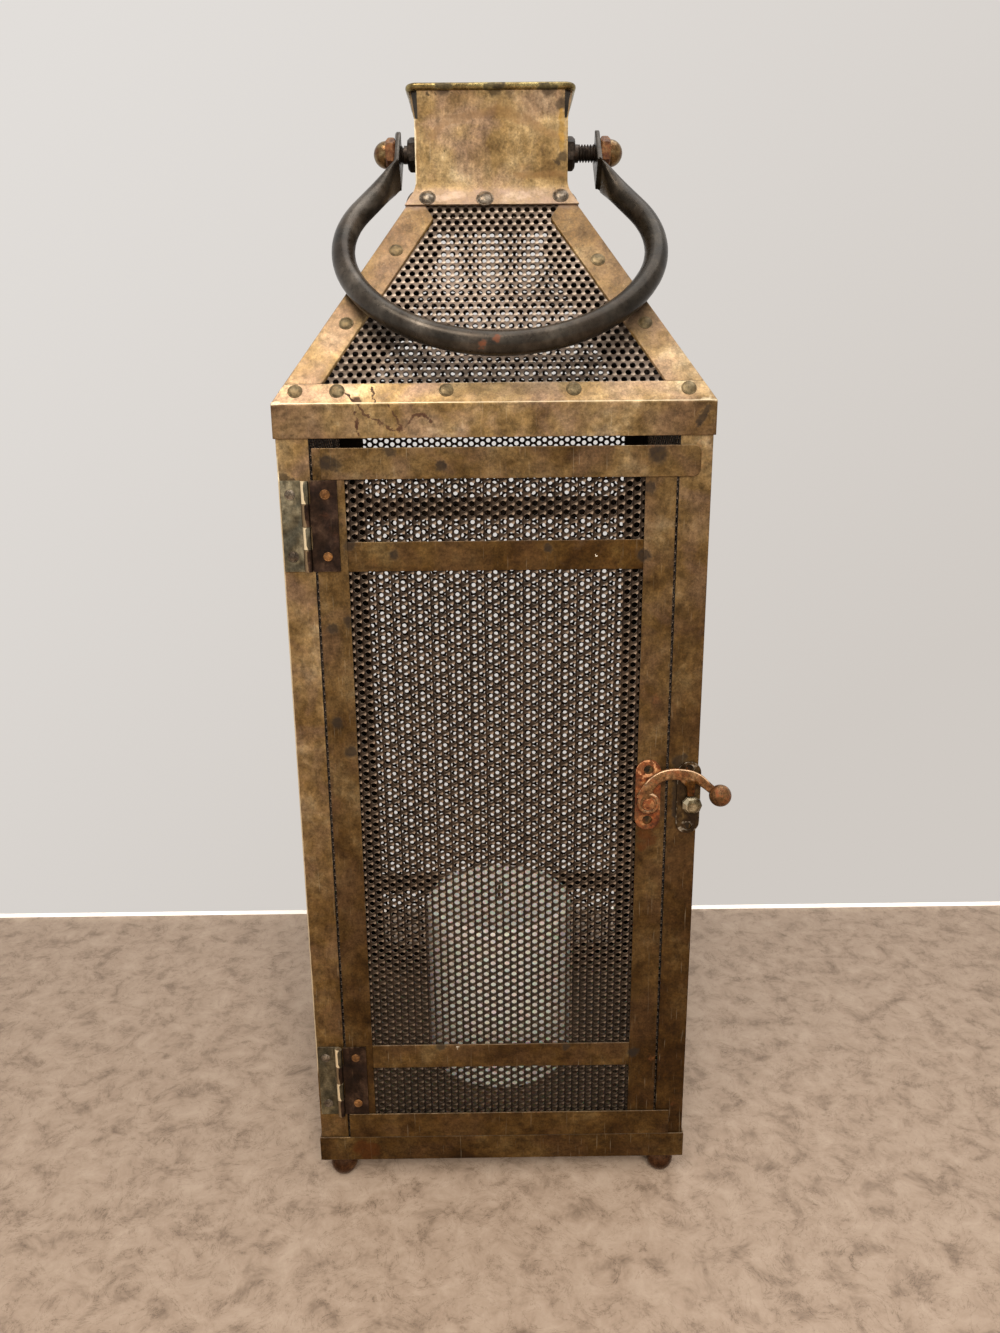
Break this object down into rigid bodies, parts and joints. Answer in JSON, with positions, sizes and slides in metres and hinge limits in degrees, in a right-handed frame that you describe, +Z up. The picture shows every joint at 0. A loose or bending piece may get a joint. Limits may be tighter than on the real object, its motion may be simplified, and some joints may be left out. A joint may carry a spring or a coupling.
{
  "type": "lantern",
  "caption": "Square punched tin lantern with a pyramid roof, open neck, swinging bail, hinged front door with a hook latch, and a pillar candle",
  "frame": {"origin": "Centre of the surface that the four ball feet stand on", "axes": "+Z up, -Y out of the hinged door in front, +X to the right seen from the front"},
  "size_m": [0.1846, 0.1803, 0.4829],
  "materials": {
    "aged_brass": "aged, mottled brown patina with worn edges",
    "pierced_sheet": "dull pierced sheet with bright hole edges",
    "bronze": "dark bronze, glossy",
    "dark_steel": "gunmetal, glossy in streaks, slight rust",
    "plated_brass": "worn plated brass with rust",
    "copper_brown": "coppery brown, polished by use",
    "rusted_steel": "steel gone to orange brown rust",
    "wax": "ivory wax",
    "wick": "charred cotton"
  },
  "bodies": {
    "lantern": {"base_pan": "aged_brass", "ball_feet": "bronze", "post_front_left": "aged_brass", "post_front_right": "aged_brass", "post_back_left": "aged_brass", "post_back_right": "aged_brass", "panel_right": "pierced_sheet", "panel_back": "pierced_sheet", "panel_left": "pierced_sheet", "lower_strip_right": "aged_brass", "lower_strip_back": "aged_brass", "lower_strip_left": "aged_brass", "upper_strip_right": "aged_brass", "upper_strip_back": "aged_brass", "upper_strip_left": "aged_brass", "eave_front": "aged_brass", "eave_right": "aged_brass", "eave_back": "aged_brass", "eave_left": "aged_brass", "roof_panel_front": "pierced_sheet", "roof_panel_right": "pierced_sheet", "roof_panel_back": "pierced_sheet", "roof_panel_left": "pierced_sheet", "hip_strip_front_left": "aged_brass", "hip_strip_front_right": "aged_brass", "hip_strip_back_left": "aged_brass", "hip_strip_back_right": "aged_brass", "neck": "aged_brass", "neck_rim": "aged_brass", "handle_bolts": "dark_steel", "jam_nuts": "dark_steel", "dome_nuts": "plated_brass", "hinge_frame_leaf_lower": "rusted_steel", "hinge_frame_leaf_upper": "rusted_steel", "hinge_pins": "rusted_steel", "keeper_plate": "rusted_steel", "keeper_stud": "plated_brass", "candle": "wax", "candle_wick": "wick"},
    "door": {"door_stile_left": "aged_brass", "door_stile_right": "aged_brass", "door_rail_bottom": "aged_brass", "door_rail_top": "aged_brass", "door_strip_lower": "aged_brass", "door_strip_upper": "aged_brass", "door_panel": "pierced_sheet", "hinge_door_leaf_lower": "rusted_steel", "hinge_door_leaf_upper": "rusted_steel", "latch_plate": "rusted_steel", "latch_pivot": "plated_brass"},
    "latch_hook": {"latch_hook": "copper_brown"},
    "handle": {"handle": "dark_steel"}
  },
  "joints": [
    {"name": "door_hinge", "type": "hinge", "parent": "lantern", "child": "door", "pos_m": [-0.0745, -0.0869, 0.1838], "axis": [0, 0, -1], "range_deg": [0, 180]},
    {"name": "hook_pivot", "type": "hinge", "parent": "door", "child": "latch_hook", "pos_m": [0.0637, -0.088, 0.1939], "axis": [0, -1, 0], "range_deg": [0, 100]},
    {"name": "handle_pivot", "type": "hinge", "parent": "lantern", "child": "handle", "pos_m": [0.003, 0, 0.46333], "axis": [-1, 0, 0], "range_deg": [0, 265.3]}
  ]
}
